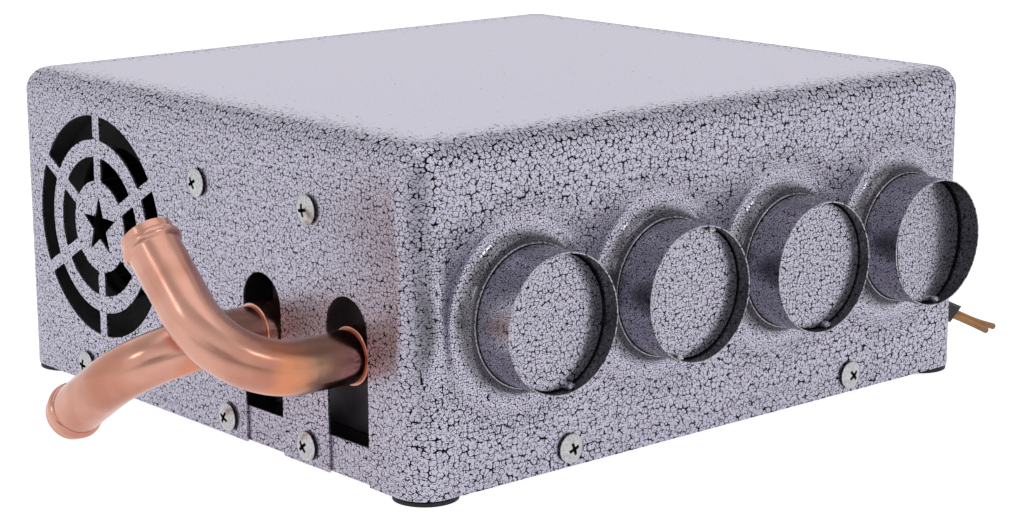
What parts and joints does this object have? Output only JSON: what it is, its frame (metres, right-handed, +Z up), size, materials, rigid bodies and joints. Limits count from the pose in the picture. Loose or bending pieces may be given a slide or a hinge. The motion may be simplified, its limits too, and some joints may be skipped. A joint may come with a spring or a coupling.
{
  "type": "vehicle cab heater",
  "caption": "Low box cab heater: hot coolant enters by bent copper pipes, a twin blower drives air through a finned core and out of round duct collars with butterfly dampers.",
  "frame": {"origin": "floor under the middle of the box that holds the case, pipes and collars, leads left out", "axes": "+X to the right seen from the outlets, +Y from the outlet wall to the back, +Z up"},
  "size_m": [0.3805, 0.2836, 0.123],
  "materials": {
    "crackle_paint": "hammered silver crackle paint",
    "black_paint": "satin black",
    "copper": "satin copper tube",
    "zinc_steel": "bright zinc plate",
    "galvanised": "galvanised sheet",
    "foot_rubber": "matte black",
    "seal_foam": "matte black foam",
    "fin_aluminium": "plain sheet",
    "blower_plastic": "moulded black",
    "motor_steel": "dark grey",
    "shaft_steel": "ground",
    "magnet": "matte ferrite",
    "lamination": "stacked sheet",
    "bearing_bronze": "sintered bronze",
    "black_sleeve": "satin vinyl",
    "tan_wire": "satin insulation"
  },
  "bodies": {
    "case": {"case_shell": "crackle_paint", "base_tray": "crackle_paint", "feet": "foot_rubber", "foot_screws": "zinc_steel", "foot_nuts": "zinc_steel", "case_screws": "zinc_steel", "coolant_pipe_upper": "copper", "coolant_pipe_lower": "copper", "core_sockets": "copper", "core_tank_left": "black_paint", "core_tank_right": "black_paint", "core_tubes": "copper", "core_fins": "fin_aluminium", "core_seals": "seal_foam", "side_rail_left": "galvanised", "side_rail_right": "galvanised", "blower_partition": "galvanised", "blower_housing_left": "blower_plastic", "blower_housing_right": "blower_plastic", "housing_screws": "zinc_steel", "inlet_seals": "seal_foam", "motor_brush_card": "blower_plastic", "motor_magnets": "magnet", "motor_can": "motor_steel", "motor_cap_left": "motor_steel", "motor_cap_right": "motor_steel", "motor_bearings": "bearing_bronze", "motor_cradle": "galvanised", "motor_strap": "galvanised", "strap_screws": "zinc_steel", "cable_grommet": "foot_rubber", "cable_sleeve": "black_sleeve", "inner_lead": "black_sleeve", "lead_wire_1": "tan_wire", "lead_wire_2": "tan_wire", "outlet_collar_1": "crackle_paint", "outlet_collar_2": "crackle_paint", "outlet_collar_3": "crackle_paint", "outlet_collar_4": "crackle_paint"},
    "rotor": {"impeller_left": "blower_plastic", "impeller_right": "blower_plastic", "motor_shaft": "shaft_steel", "motor_armature": "lamination", "motor_commutator": "copper"},
    "damper_1": {"damper_disc_1": "crackle_paint", "damper_pivots_1": "zinc_steel"},
    "damper_2": {"damper_disc_2": "crackle_paint", "damper_pivots_2": "zinc_steel"},
    "damper_3": {"damper_disc_3": "crackle_paint", "damper_pivots_3": "zinc_steel"},
    "damper_4": {"damper_disc_4": "crackle_paint", "damper_pivots_4": "zinc_steel"}
  },
  "joints": [
    {"name": "damper_1_turn", "type": "hinge", "parent": "case", "child": "damper_1", "pos_m": [-0.06745, -0.1386, 0.0615], "axis": [-0.2079, 0, 0.9781], "range_deg": [-95, 85]},
    {"name": "damper_2_turn", "type": "hinge", "parent": "case", "child": "damper_2", "pos_m": [-0.00345, -0.1386, 0.0615], "axis": [0.3256, 0, 0.9455], "range_deg": [-92, 88]},
    {"name": "damper_3_turn", "type": "hinge", "parent": "case", "child": "damper_3", "pos_m": [0.06055, -0.1386, 0.0615], "axis": [-0.1908, 0, 0.9816], "range_deg": [-90, 90]},
    {"name": "damper_4_turn", "type": "hinge", "parent": "case", "child": "damper_4", "pos_m": [0.12455, -0.1386, 0.0615], "axis": [-0.1219, 0, 0.9925], "range_deg": [-101, 79]},
    {"name": "rotor_spin", "type": "hinge", "parent": "case", "child": "rotor", "pos_m": [0.02855, 0.0787, 0.0666], "axis": [1, 0, 0], "continuous": true}
  ]
}
